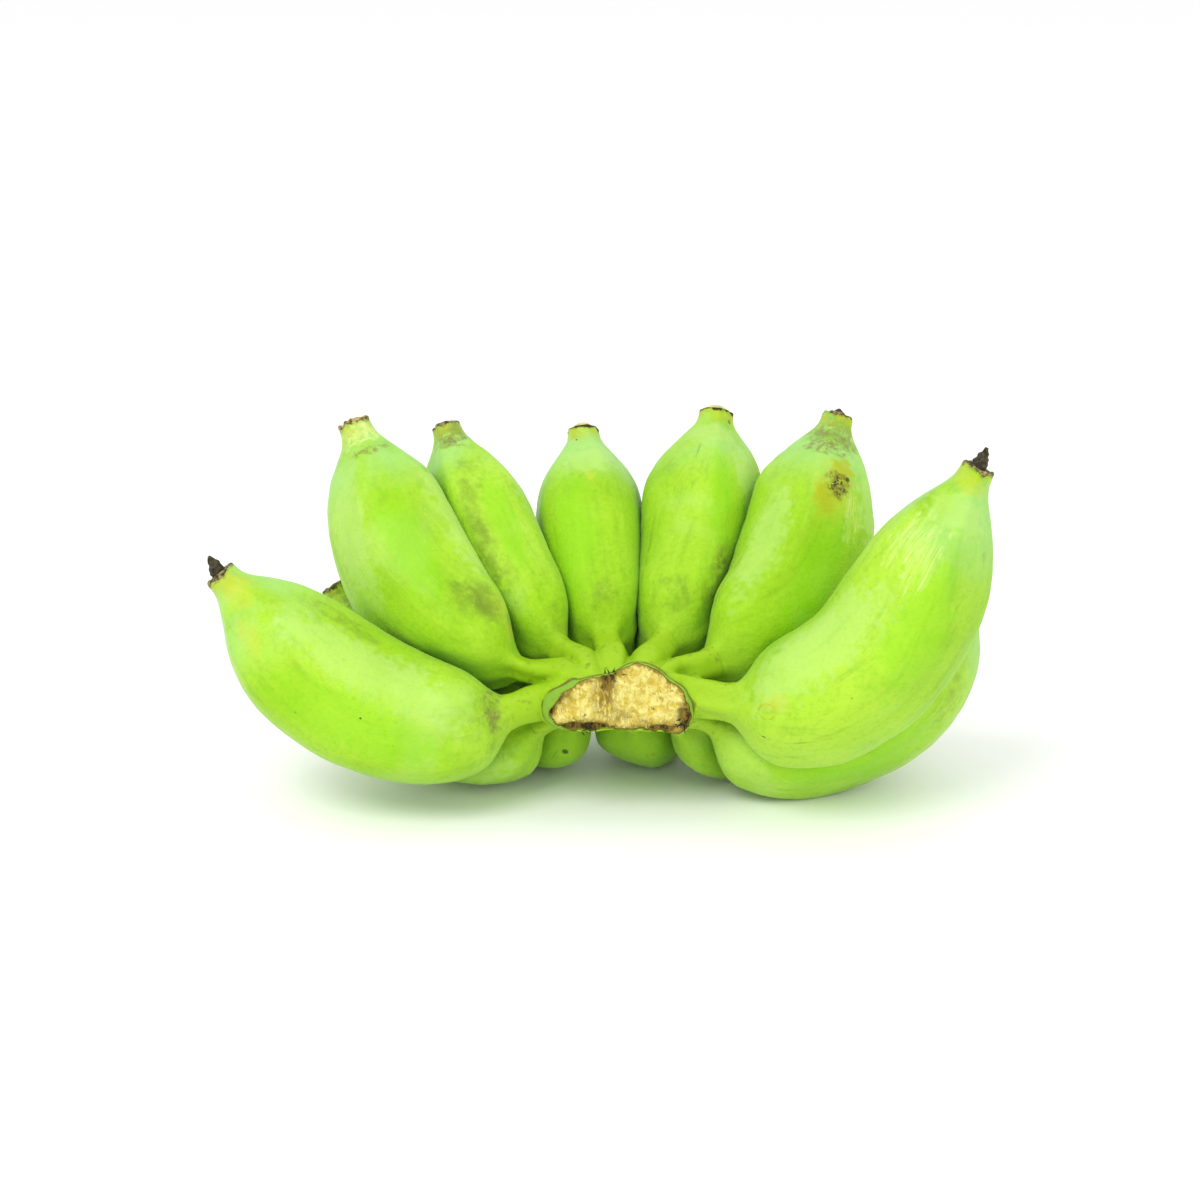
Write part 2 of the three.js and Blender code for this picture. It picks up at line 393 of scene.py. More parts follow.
class Finger:
    """One banana: its fine skin, and for each point its share of the length and its angle."""

    def __init__(self, name):
        self.name = name
        rings = cad_rings(name)
        centres = rings.mean(1)
        chords = np.linalg.norm(np.diff(centres, axis=0), axis=1)
        self.length = chords.sum()
        knots = np.concatenate(([0.0], np.cumsum(chords))) / self.length
        body = np.linspace(0.0, NECK_FROM, BODY_ROWS, endpoint=False)
        self.shares = np.concatenate((body, np.linspace(NECK_FROM, 1.0, NECK_ROWS)))
        skin = self.soothed(between_rings(finer_round(rings, COLUMNS), knots, self.shares))
        middle = skin.mean(1, keepdims=True)
        narrowing = 1.0 - NECK_END_NARROWING * smoothstep(self.shares, 0.92, 0.98)
        self.skin = middle + (skin - middle) * narrowing[:, None, None]
        self.centres = self.skin.mean(1)
        self.along = unit(np.gradient(self.centres, axis=0))
        places = zip(self.skin, self.centres, self.along)
        self.angles = np.array([ring_angles(ring, centre, along) for ring, centre, along in places])
        self.seed = FIRST_FINGER_SEED + (UPPER + LOWER).index(name)

    def soothed(self, skin):
        """Takes the last corners out of the outline, and leaves both ends where they are."""
        for _ in range(SOOTHING_ROUNDS):
            middle = 0.5 * skin[1:-1] + 0.25 * (skin[:-2] + skin[2:])
            skin = np.concatenate((skin[:1], middle, skin[-1:]))
        return skin

    def spot(self, share, degrees):
        """A place on the skin: where it is, with the directions along, across and outwards."""
        i = int(np.argmin(np.abs(self.shares - share)))
        j = int(np.argmax(np.cos(self.angles[i] - math.radians(degrees))))
        outward = unit(self.skin[i, j] - self.centres[i])
        across = unit(np.cross(outward, self.along[i]))
        directions = np.stack((self.along[i], across, np.cross(self.along[i], across)), axis=1)
        spot = Matrix(directions.tolist()).to_4x4()
        spot.translation = self.skin[i, j]
        return spot


# ---------------------------------------------------------------- relief of the peel

# Height in metres of what the CAD leaves out.
RIDGE = 0.55 * MM
DENTS = 0.32 * MM
RIPPLES = 0.07 * MM
STALK_FACETS = 0.35 * MM
NECK_WRINKLES = 0.12 * MM
# Wavelengths in metres of the dents, the ripples and the wander of the wrinkles.
DENT_LENGTH = 30.0 * MM
RIPPLE_LENGTH = 8.0 * MM
WANDER_LENGTH = 20.0 * MM
# A banana has five sides. How sharp the ridges are, and the level that keeps their mean near zero.
SIDES = 5
RIDGE_SHARPNESS = 3.5
RIDGE_MEAN = 0.28
WRINKLES_ROUND = 9


def peel_relief(finger):
    """How far each point of the skin is pushed outwards."""
    share = finger.shares[:, None]
    angle = finger.angles
    rng = np.random.default_rng(finger.seed)
    crest = np.exp(RIDGE_SHARPNESS * (np.cos(SIDES * angle) - 1.0)) - RIDGE_MEAN
    crest_strength = rng.uniform(0.55, 1.1, SIDES)
    which = np.round(angle / (2.0 * math.pi / SIDES)).astype(int) % SIDES
    belly = smoothstep(share, 0.16, 0.3) * (1.0 - smoothstep(share, 0.86, 0.96))
    neck = smoothstep(share, 0.66, 0.8) * (1.0 - smoothstep(share, 0.9, 0.98))
    relief = RIDGE * crest * crest_strength[which] * (0.7 * belly + 0.6 * neck)
    away_from_ends = smoothstep(share, 0.1, 0.22) * (1.0 - smoothstep(share, 0.85, 0.97))
    relief = relief + DENTS * waves(finger.skin, DENT_LENGTH, finger.seed) * away_from_ends
    relief = relief + RIPPLES * waves(finger.skin, RIPPLE_LENGTH, finger.seed + 1) * away_from_ends
    stalk = 1.0 - smoothstep(share, 0.1, 0.2)
    relief = relief + STALK_FACETS * stalk * np.cos(SIDES * angle + rng.uniform(0.0, 6.0))
    end = smoothstep(share, 0.88, 0.97)
    lengthwise = np.cos(WRINKLES_ROUND * angle + 2.0 * waves(finger.skin, WANDER_LENGTH, finger.seed + 2))
    return relief + NECK_WRINKLES * end * lengthwise


# ---------------------------------------------------------------- tips

# The end of a finger, from the rim of its neck inwards: share of the rim's radius, and height
# in millimetres above it. All have a woody ring: round a shallow dish, a low pale cone or a crust.
TIP_SHAPES = {
    "scar": [(1.0, 0.15), (1.0, 0.4), (0.98, 0.65), (0.93, 0.85), (0.85, 0.9), (0.76, 0.7), (0.66, 0.45),
             (0.56, 0.35), (0.46, 0.35), (0.34, 0.45), (0.2, 0.6), (0.08, 0.6)],
    "stub": [(1.0, 0.15), (1.01, 0.4), (0.99, 0.65), (0.93, 0.8), (0.85, 0.9), (0.76, 1.15), (0.66, 1.6),
             (0.57, 2.1), (0.47, 2.5), (0.35, 2.8), (0.2, 2.9), (0.07, 2.9)],
    "crust": [(1.0, 0.2), (1.03, 0.6), (1.02, 1.0), (0.96, 1.4), (0.87, 1.6), (0.78, 1.5), (0.68, 1.4),
              (0.56, 1.8), (0.42, 2.1), (0.28, 1.9), (0.16, 1.6), (0.06, 1.6)],
}
TIPS = {
    "upper_1": "scar", "upper_2": "crust", "upper_3": "scar", "upper_4": "stub", "upper_5": "stub",
    "upper_6": "scar", "upper_7": "scar", "lower_1": "scar", "lower_2": "scar", "lower_3": "stub",
    "lower_4": "scar", "lower_5": "scar",
}
TIP_ROUGHNESS = {"scar": 0.2 * MM, "stub": 0.08 * MM, "crust": 0.4 * MM}
TIP_GRAIN = 3.2 * MM
# The unevenness of a tip sets in over this many rings, so that it joins the neck without a step.
TIP_FADE_RINGS = 3
# Where the woody ring ends and the middle begins, in millimetres from the rim.
TIP_MIDDLE = {"scar": 1.9, "stub": 1.2, "crust": 1.5}


def tip_rings(finger, rim):
    """Rings that close the finger, built on the last ring of its skin."""
    kind = TIPS[finger.name]
    centre = rim.mean(0)
    along = finger.along[-1]
    rings = []
    for i, (share, height) in enumerate(TIP_SHAPES[kind]):
        ring = centre + (rim - centre) * share + along * height * MM
        fade = min(1.0, (i + 1) / TIP_FADE_RINGS)
        unevenness = waves(ring, TIP_GRAIN, finger.seed + 5)[:, None] * TIP_ROUGHNESS[kind] * fade
        rings.append(ring + along * unevenness)
    return np.array(rings)


# ---------------------------------------------------------------- the peel's material

LIME = (0.275, 0.53, 0.009)
PALE_LIME = (0.39, 0.65, 0.04)
DEEP_GREEN = (0.13, 0.33, 0.006)
# Pale green of the waxy bloom, also painted as a sheen where the skin catches the light.
BLOOM_AND_SHEEN = (0.43, 0.66, 0.16)
STALK_GREEN = (0.29, 0.46, 0.014)
MINT = (0.33, 0.64, 0.21)
OCHRE = (0.37, 0.42, 0.006)
VIVID = (0.22, 0.58, 0.003)
YELLOW = (0.50, 0.55, 0.04)
STRAW = (0.70, 0.76, 0.28)
MURK = (0.12, 0.18, 0.015)
SCURF = (0.20, 0.20, 0.05)
BROWN = (0.115, 0.062, 0.018)
NEARLY_BLACK = (0.028, 0.018, 0.01)
CORK = (0.52, 0.42, 0.16)

# Marks in one colour: the colour, how strong, the size of their grain in millimetres, and the
# levels of noise between which they come through. Low levels make a whole patch, high ones crumbs.
STAINS = {
    "vivid": (VIVID, 0.48, 18.0, 0.1, 0.5),
    # Pale waxy bloom in part, and in part a painted sheen where the skin catches the light.
    "bloom_and_sheen": (BLOOM_AND_SHEEN, 0.5, 18.0, 0.1, 0.5),
    "ochre": (OCHRE, 0.95, 4.0, 0.12, 0.6),
    "dirt": (MURK, 0.6, 6.0, 0.3, 0.62),
    "yellow": (YELLOW, 0.5, 6.0, 0.2, 0.65),
    "murk": (MURK, 0.5, 5.0, 0.36, 0.72),
    "scurf": (SCURF, 0.85, 2.0, 0.4, 0.62),
    "smudge": (BROWN, 0.65, 3.0, 0.36, 0.68),
    "pale": (STRAW, 0.7, 1.6, 0.35, 0.6),
    "speck": (NEARLY_BLACK, 0.85, 0.7, 0.15, 0.45),
}

# What each finger has been through, and where a pale sheen is painted on it: kind of mark, share of the
# finger's length, angle round it in degrees with 90 on the upper face, and its length and width in
# millimetres.
MARKS = {
    "upper_1": [
        ("vivid", 0.5, 178, 84, 24), ("bloom_and_sheen", 0.55, 130, 90, 22), ("yellow", 0.94, 155, 16, 14),
        ("yellow", 0.965, 150, 8, 9), ("murk", 0.17, 172, 14, 26), ("scurf", 0.15, 150, 10, 18),
        ("murk", 0.72, 100, 40, 10), ("yellow", 0.84, 188, 16, 10), ("speck", 0.5, 170, 1.2, 1.0),
    ],
    "upper_2": [
        ("bloom_and_sheen", 0.7, 165, 60, 20), ("bloom_and_sheen", 0.6, 70, 70, 16), ("vivid", 0.6, 120, 60, 18),
        ("pale", 0.965, 122, 12, 20), ("scurf", 0.905, 118, 4, 16), ("yellow", 0.2, 92, 26, 12),
        ("dirt", 0.27, 106, 22, 14), ("smudge", 0.19, 88, 5, 4), ("dirt", 0.3, 118, 22, 12),
        ("murk", 0.38, -166, 40, 10),
    ],
    "upper_3": [
        ("vivid", 0.6, 100, 50, 12), ("bloom_and_sheen", 0.7, 60, 50, 14), ("scurf", 0.95, 110, 12, 18),
        ("dirt", 0.6, 126, 60, 7), ("murk", 0.8, 118, 26, 8), ("smudge", 0.985, 105, 5, 14),
        ("smudge", 0.93, 122, 7, 6), ("dirt", 0.965, 108, 10, 18), ("murk", 0.45, 121, 44, 9),
        ("murk", 0.16, 90, 12, 16),
    ],
    "upper_4": [
        ("vivid", 0.55, 110, 60, 18), ("bloom_and_sheen", 0.86, 90, 18, 26), ("smudge", 0.58, 24, 34, 8),
        ("dirt", 0.5, 22, 50, 12), ("smudge", 0.4, 24, 20, 6), ("yellow", 0.78, 92, 5, 5),
        ("ochre", 0.975, 128, 6, 6), ("speck", 0.95, 118, 1.2, 1.0), ("murk", 0.2, 90, 16, 20),
        ("murk", 0.55, 165, 44, 7),
    ],
    "upper_5": [
        ("vivid", 0.7, 62, 46, 12), ("bloom_and_sheen", 0.78, 30, 34, 14), ("bloom_and_sheen", 0.9, 80, 14, 20),
        ("smudge", 0.42, 50, 16, 9), ("dirt", 0.36, 48, 34, 13), ("line", 0.83, 92, 9, 0.8),
        ("line", 0.42, 118, 40, 0.9), ("speck", 0.97, 28, 2.4, 1.6), ("murk", 0.2, 80, 16, 18),
    ],
    "upper_6": [
        ("vivid", 0.5, 40, 60, 18), ("bloom_and_sheen", 0.75, 0, 50, 16), ("yellow", 0.75, 50, 34, 18),
        ("ochre", 0.81, 42, 16, 11), ("ochre", 0.725, 60, 16, 12), ("peppered", 0.768, 48, 11, 11),
        ("dirt", 0.95, 60, 24, 30), ("speck", 0.795, 38, 2.0, 2.2), ("scurf", 0.93, 60, 18, 22),
        ("scurf", 0.875, 75, 7, 22), ("scratches", 0.7, 30, 30, 8), ("line", 0.34, 106, 46, 1.0),
        ("bloom_and_sheen", 0.5, 92, 56, 16),
    ],
    "upper_7": [
        ("vivid", 0.65, 0, 64, 26), ("bloom_and_sheen", 0.45, 56, 84, 26), ("bloom_and_sheen", 0.9, 10, 16, 30),
        ("scratches", 0.80, 48, 34, 13), ("scratches", 0.78, 24, 38, 11), ("ring", 0.212, 12, 7, 6),
        ("yellow", 0.24, 20, 12, 8), ("smudge", 0.83, -48, 4, 2.4), ("speck", 0.2, -20, 2.0, 1.0),
        ("line", 0.3, -22, 20, 0.8), ("yellow", 0.965, 20, 8, 16),
    ],
    "lower_1": [("scurf", 0.93, 140, 24, 26), ("smudge", 0.985, 150, 4, 14), ("bloom_and_sheen", 0.3, 200, 40, 24)],
    "lower_2": [("speck", 0.18, -99, 1.4, 2.6), ("line", 0.195, -112, 5, 0.8)],
    "lower_3": [("line", 0.2, -70, 6, 0.7), ("murk", 0.5, -80, 30, 12)],
    "lower_4": [("scurf", 0.85, 90, 16, 12)],
    "lower_5": [
        ("vivid", 0.45, -10, 90, 34), ("speck", 0.5, 30, 1.5, 1.5), ("bloom_and_sheen", 0.6, -60, 50, 12),
        ("murk", 0.75, -30, 30, 12),
    ],
}
# Marks fade out this far below the skin, in millimetres, so that none shows on the far side.
MARK_DEPTH = 9.0


def add_mark(n, color, place, finger, mark):
    """The colour with one more mark over it."""
    kind, share, degrees, length, width = mark
    near = n.local(place, finger.spot(share, degrees), (length / 2 * MM, width / 2 * MM, MARK_DEPTH * MM))
    ragged = n.span(n.noise(place, 0.003, 3.0), 0.25, 0.75, -0.25, 0.25)
    distance = n.math("ADD", n.length(near), ragged)
    inside = n.span(distance, 1.0, 0.45)
    if kind == "scratches":
        strokes = n.noise(n.stretched(near, (0.9, 7.0, 1.0)), 1.0, 2.0, 0.5, 0.2)
        hairs = n.noise(n.stretched(near, (1.6, 22.0, 1.0)), 1.0, 5.0, 0.7, 0.3)
        amount = n.times(inside, n.span(strokes, 0.36, 0.56), n.span(hairs, 0.38, 0.66), 0.72)
        return n.mix(amount, color, STRAW)
    if kind == "peppered":
        cloud = n.times(inside, n.span(n.noise(place, 0.002, 6.0, 0.7), 0.36, 0.56), 0.75)
        specks = n.span(n.cells(place, 0.001), 0.5, 0.36)
        browned = n.mix(cloud, color, BROWN)
        return n.mix(n.times(n.span(distance, 0.9, 0.4), specks, 0.9), browned, NEARLY_BLACK)
    if kind == "ring":
        band = n.span(n.math("ABSOLUTE", n.math("SUBTRACT", n.length(near), 0.78)), 0.16, 0.05)
        broken = n.span(n.noise(place, 0.004, 2.0), 0.4, 0.55)
        return n.mix(n.times(band, broken, 0.75), color, OCHRE)
    if kind == "line":
        broken = n.span(n.noise(place, 0.005, 3.0), 0.3, 0.55)
        return n.mix(n.times(n.span(n.length(near), 1.0, 0.5), broken, 0.45), color, MURK)
    stain, strength, grain, low, high = STAINS[kind]
    through = n.span(n.noise(place, grain * MM, 7.0, 0.68), low, high)
    return n.mix(n.times(inside, through, strength), color, stain)


# How large the patches of deeper and paler green are, and the grain of the peel.
CLOUD_SIZE = 50.0 * MM
SHADE_SIZE = 28.0 * MM
PEEL_GRAIN = 1.6 * MM


def peel_color(n, place):
    """The green of the peel anywhere on the hand: the same on the fingers and round the crown."""
    clouds = n.span(n.noise(place, CLOUD_SIZE, 2.0), 0.35, 0.68)
    color = n.mix(clouds, LIME, PALE_LIME)
    shade = n.span(n.noise(place, SHADE_SIZE, 3.0, 0.55, 0.4), 0.5, 0.8, 0.0, 0.4)
    color = n.mix(shade, color, DEEP_GREEN)
    fine = n.noise(place, PEEL_GRAIN, 4.0, 0.65)
    color = n.mix(n.span(fine, 0.45, 0.75, 0.0, 0.3), color, DEEP_GREEN)
    return n.mix(n.span(fine, 0.5, 0.25, 0.0, 0.25), color, PALE_LIME)


# Painted shade: how much deeper the green is painted on the fingers of the lower row that lie in shade.
SHADED = {"lower_2": 0.35, "lower_3": 0.5, "lower_4": 0.3}

# The peel's streaks, specks and pores: their sizes, and how high the finest relief stands.
STREAK_SIZE = 3.5 * MM
SPECK_SPACING = 6.5 * MM
WOOD_GRAIN = 1.2 * MM
PORE_SIZE = 0.9 * MM
PEEL_BUMP = 0.22 * MM

# The wood of a tip's ring and of its middle: darker and paler colour, and the noise between them.
TIP_WOOD = {
    "crust": ((BROWN, CORK, 0.4, 0.6), (BROWN, STRAW, 0.35, 0.55)),
    "stub": ((NEARLY_BLACK, BROWN, 0.35, 0.75), (CORK, STRAW, 0.3, 0.6)),
    "scar": ((NEARLY_BLACK, CORK, 0.35, 0.75), (NEARLY_BLACK, BROWN, 0.3, 0.7)),
}


def tip_color(n, place, kind, color, end, grain):
    """The last of the neck turns ochre, and ends in a woody ring with its middle. The end is given
    in millimetres from the rim."""
    ripe = n.times(n.span(end, -7.0, -0.8), n.span(n.noise(place, 0.004, 4.0, 0.6), 0.3, 0.6))
    color = n.mix(n.math("MULTIPLY", ripe, 0.7), color, n.mix(n.noise(place, 0.003), OCHRE, YELLOW))
    wood, middle = (n.mix(n.span(grain, low, high), dark, pale) for dark, pale, low, high in TIP_WOOD[kind])
    color = n.mix(n.span(end, -0.3, 0.1), color, wood)
    return n.mix(n.span(end, TIP_MIDDLE[kind], TIP_MIDDLE[kind] + 0.5), color, middle)


def peel_material(finger):
    n = Nodes(f"peel_{finger.name}")
    place = n.place()
    straight = n.attribute("straight", "Vector")
    share = n.attribute("share", "Fac")
    color = peel_color(n, place)

    # Faint streaks run along the finger.
    streaks = n.noise(n.stretched(straight, (1.0, 1.0, 0.08)), STREAK_SIZE, 3.0, 0.6)
    color = n.mix(n.span(streaks, 0.52, 0.72, 0.0, 0.3), color, PALE_LIME)
    color = n.mix(n.span(streaks, 0.48, 0.3, 0.0, 0.28), color, DEEP_GREEN)

    # Painted shade: the lower row's fingers that lie in shade get a deeper green.
    if finger.name in SHADED:
        color = n.mix(SHADED[finger.name], color, DEEP_GREEN)

    # A waxy bloom lies on the shoulders of the neck and in patches elsewhere.
    bloom = n.times(n.span(share, 0.72, 0.9), n.span(n.noise(place, 0.02), 0.3, 0.6))
    color = n.mix(n.math("MULTIPLY", bloom, 0.6), color, MINT)
    patches = n.span(n.noise(place, 0.035, 2.0, 0.5, 0.6), 0.56, 0.72, 0.0, 0.3)
    color = n.mix(patches, color, BLOOM_AND_SHEEN)

    # The stalk is duller and yellower.
    stalk = n.span(share, 0.2, 0.08)
    color = n.mix(n.math("MULTIPLY", stalk, 0.5), color, STALK_GREEN)

    # Scattered pinpoint specks.
    specks = n.span(n.cells(place, SPECK_SPACING), 0.075, 0.045)
    sparse = n.span(n.noise(place, 0.02), 0.52, 0.66)
    color = n.mix(n.times(specks, sparse, 0.5), color, BROWN)

    for mark in MARKS[finger.name]:
        color = add_mark(n, color, place, finger, mark)

    ragged = n.span(n.noise(place, 0.0028, 4.0), 0.25, 0.75, -0.8, 0.8)
    end = n.math("ADD", n.attribute("end", "Fac"), ragged)
    grain = n.noise(place, WOOD_GRAIN, 4.0, 0.7)
    color = tip_color(n, place, TIPS[finger.name], color, end, grain)

    woody = n.span(end, -1.0, 0.5)
    rough = n.span(n.noise(place, 0.006, 4.0, 0.6), 0.3, 0.7, 0.38, 0.52)
    rough = n.math("ADD", rough, n.math("MULTIPLY", woody, 0.35))
    fine_relief = n.math("ADD", n.noise(place, PORE_SIZE, 3.0, 0.6), n.math("MULTIPLY", streaks, 0.8))
    coarse_relief = n.math("MULTIPLY", grain, n.math("MULTIPLY", woody, 5.0))
    normal = n.bump(n.math("ADD", fine_relief, coarse_relief), PEEL_BUMP)
    n.put(n.shader.inputs["Sheen Weight"], WAX)
    n.put(n.shader.inputs["Sheen Roughness"], WAX_ROUGHNESS)
    n.put(n.shader.inputs["Sheen Tint"], WAX_TINT)
    return n.finish(color, rough, normal)


# ---------------------------------------------------------------- fingers

# How much fuller fingers are than their CAD, so that neighbours touch; two of them fill a gap.
PLUMPNESS = 0.25 * MM
EXTRA_PLUMPNESS = {"upper_4": 0.6 * MM, "upper_5": 0.6 * MM}

# The lowest that a finger's skin may lie: flattened by the hand's weight.
FLOOR_GAP = 0.05 * MM


def add_finger(name):
    finger = Finger(name)
    fuller = PLUMPNESS + EXTRA_PLUMPNESS.get(name, 0.0)
    relief = peel_relief(finger) + fuller * smoothstep(finger.shares, 0.13, 0.2)[:, None]
    skin = finger.skin + grid_normals(finger.skin) * relief[..., None]
    skin[..., 2] = np.maximum(skin[..., 2], FLOOR_GAP)
    grid = np.concatenate((skin, tip_rings(finger, skin[-1])))
    points, faces = tube(grid)
    piece = add_mesh(f"banana_{name}", points, faces, peel_material(finger))
    i = len(skin) // 2
    outward = np.cross(skin[i, 1] - skin[i, 0], skin[i + 1, 0] - skin[i, 0])
    if (outward * (skin[i, 0] - finger.centres[i])).sum() < 0:
        piece.data.flip_normals()
    store_places(piece, finger, grid)
    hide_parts(f"finger_{name}")
    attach(piece, "root")
    return finger


def store_places(piece, finger, grid):
    """Keeps for each point its share of the length, its place on the finger laid out straight, and
    how many millimetres it lies past the rim of the neck. The last two points close the two ends."""
    rows = len(finger.shares)
    closing = len(grid) - rows
    share = np.concatenate((finger.shares, np.ones(closing)))
    share = np.concatenate((np.repeat(share, COLUMNS), [0.0, 1.0]))
    angle = np.concatenate((finger.angles, np.repeat(finger.angles[-1:], closing, axis=0))).ravel()
    radius = np.linalg.norm(grid - grid.mean(1, keepdims=True), axis=-1).ravel()
    length = share[:-2] * finger.length
    straight = np.stack((radius * np.cos(angle), radius * np.sin(angle), length), -1)
    straight = np.concatenate((straight, [[0.0, 0.0, 0.0], [0.0, 0.0, finger.length]]))
    steps = np.linalg.norm(np.diff(grid[rows - 1:], axis=0), axis=-1).mean(1)
    end = np.concatenate(((finger.shares - 1.0) * finger.length, np.cumsum(steps))) / MM
    end = np.concatenate((np.repeat(end, COLUMNS), [end[0], end[-1]]))
    store(piece, "share", share)
    store(piece, "straight", straight)
    store(piece, "end", end)


# ---------------------------------------------------------------- the crown

CROWN_VOXEL = 0.5 * MM
CROWN_SMOOTHING = {"factor": 0.5, "iterations": 14}
# A sleeve takes one in this many of the points round its finger.
SLEEVE_STRIDE = 4

# The outline of the torn face, seen from the front: millimetres from the middle of the crown's
# box, right and up. A bean with a bump at the right, and a hollow lower edge.
CUT_OUTLINE = [
    (-22, -4), (-17, -9.3), (-7, -10.3), (-3, -9), (4, -9.3), (10, -9.3), (17, -10.5), (20, -11.5),
    (23.8, -5), (21.5, 0), (21, 4), (16, 7), (12, 11), (7, 12.6), (3, 12), (0, 9.7), (-2, 8.7),
    (-8, 8), (-13, 6), (-16.5, 3), (-20, -1.5),
]
CORNER_ROUNDINGS = 2
# The plug of flesh behind that face: depth in millimetres, and size beside the outline's.
CUT_PLUG = [(0.0, 1.0), (0.7, 1.04), (2.0, 1.05), (4.5, 0.97), (8.0, 0.75), (13.0, 0.4)]

# How much of its height the CAD crown keeps above its middle, so that stalks stand out of its top.
CROWN_TOP_KEPT = 0.72

# How far a crown grows over each stalk: share of the finger's length, millimetres of cover.
SLEEVE = [(0.0, 0.7), (0.05, 0.6), (0.1, 0.5), (0.125, 0.4), (0.14, -1.1)]


# In front of its root a stalk runs on into the crown, as a nose towards a point behind the torn
# face: share of the way there, and size beside the root's.
NOSE = [(1.0, 0.66), (0.8, 0.8), (0.6, 0.89), (0.4, 0.95), (0.2, 0.99)]
# That point: share of the root's distance from the middle plane, depth behind the face, and height
# beside the middle for the upper and the lower row, in millimetres.
NOSE_SIDEWAYS = 0.62
NOSE_DEPTH = 4.0
NOSE_HEIGHT = {"upper": 3.6, "lower": -3.5}


def sleeve_rings(finger):
    """The skin of a stalk as the crown grows over it, with its nose, up to the finger's shoulder."""
    rows = np.flatnonzero(finger.shares < SLEEVE[-1][0])
    skin = finger.skin[rows] + (grid_normals(finger.skin) * peel_relief(finger)[..., None])[rows]
    centres = skin.mean(1, keepdims=True)
    shares, cover = zip(*SLEEVE)
    extra = np.interp(finger.shares[rows], shares, cover) * MM
    sleeve = skin + unit(skin - centres) * extra[:, None, None]
    root = sleeve[0].mean(0)
    middle = crown_middle()
    height = NOSE_HEIGHT[finger.name.split("_")[0]] * MM
    aim = np.array((middle[0] + NOSE_SIDEWAYS * (root[0] - middle[0]), middle[1] + NOSE_DEPTH * MM,
                    middle[2] + height))
    nose = [root + (sleeve[0] - root) * size + (aim - root) * reach for reach, size in NOSE]
    return np.concatenate((np.array(nose), sleeve))


def crown_middle():
    """The middle of the torn face."""
    low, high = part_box("crown")
    return np.array(((low.x + high.x) / 2, low.y, (low.z + high.z) / 2))


def cut_outline():
    """The outline of the torn face with its corners rounded off, in millimetres."""
    corners = np.array(CUT_OUTLINE, float)
    for _ in range(CORNER_ROUNDINGS):
        following = np.roll(corners, -1, axis=0)
        pairs = (0.75 * corners + 0.25 * following, 0.25 * corners + 0.75 * following)
        corners = np.stack(pairs, axis=1).reshape(-1, 2)
    return corners


def plug_rings():
    """The outline of the torn face carried back into the crown."""
    middle = crown_middle()
    outline = cut_outline() * MM
    return np.array([middle + np.stack((outline[:, 0] * size, np.full(len(outline), depth * MM),
                                        outline[:, 1] * size), axis=1) for depth, size in CUT_PLUG])


def inside_cut(points):
    """How far points lie inside the outline of the torn face, in millimetres; negative outside."""
    flat = (points - crown_middle())[:, [0, 2]] / MM
    corners = cut_outline()
    following = np.roll(corners, -1, axis=0)
    nearest = np.full(len(flat), np.inf)
    inside = np.zeros(len(flat), bool)
    for a, b in zip(corners, following):
        share = np.clip(((flat - a) @ (b - a)) / ((b - a) @ (b - a)), 0.0, 1.0)
        nearest = np.minimum(nearest, np.linalg.norm(flat - a - share[:, None] * (b - a), axis=1))
        crosses = (a[1] > flat[:, 1]) != (b[1] > flat[:, 1])
        rise = np.where(crosses, b[1] - a[1], 1.0)
        inside ^= crosses & (flat[:, 0] < a[0] + (flat[:, 1] - a[1]) / rise * (b[0] - a[0]))
    return np.where(inside, nearest, -nearest)


def add_crown(fingers):
    points, triangles = welded("crown")
    height = points[:, 2] - crown_middle()[2]
    points[:, 2] -= (1.0 - CROWN_TOP_KEPT) * np.maximum(height, 0.0)
    all_points, all_faces = [points], [tuple(int(i) for i in t) for t in triangles]
    count = len(points)
    for rings in [sleeve_rings(finger)[:, ::SLEEVE_STRIDE] for finger in fingers] + [plug_rings()]:
        more, faces = tube(rings)
        all_faces += [tuple(i + count for i in face) for face in faces]
        all_points.append(more)
        count += len(more)
    piece = add_mesh("crown_cushion", np.concatenate(all_points), all_faces, crown_material())
    bpy.context.view_layer.objects.active = piece
    piece.select_set(True)
    bpy.ops.object.mode_set(mode="EDIT")
    bpy.ops.mesh.select_all(action="SELECT")
    bpy.ops.mesh.normals_make_consistent(inside=False)
    bpy.ops.object.mode_set(mode="OBJECT")
    remesh = piece.modifiers.new("remesh", "REMESH")
    remesh.mode = "VOXEL"
    remesh.voxel_size = CROWN_VOXEL
    soften = piece.modifiers.new("soften", "SMOOTH")
    soften.factor = CROWN_SMOOTHING["factor"]
    soften.iterations = CROWN_SMOOTHING["iterations"]
    for modifier in ("remesh", "soften"):
        bpy.ops.object.modifier_apply(modifier=modifier)
    piece.select_set(False)
    shade_smooth(piece.data)
    shape_cut_face(piece)
    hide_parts("crown")
    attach(piece, "root")


# The torn face in millimetres: how deep the flesh lies behind its skin, the rim of skin that stands
# round it, and how far the skin outside falls back.
FLESH_DEPTH = 0.5
SKIN_RIM = 0.35
SKIN_FALLS_BACK = 1.8
# Unevenness of the outline, of the torn places and of the flesh: strength in millimetres or, for
# the torn places, in shares of their size; wavelength in metres; and seed.
RAGGED_EDGE = (0.28, 3.5 * MM, 21)
RAGGED_TEARS = (0.15, 3.0 * MM, 9)
FLESH_LUMPS = (0.55, 11.0 * MM, 7)
FLESH_GRAIN = (0.22, 3.2 * MM, 8)

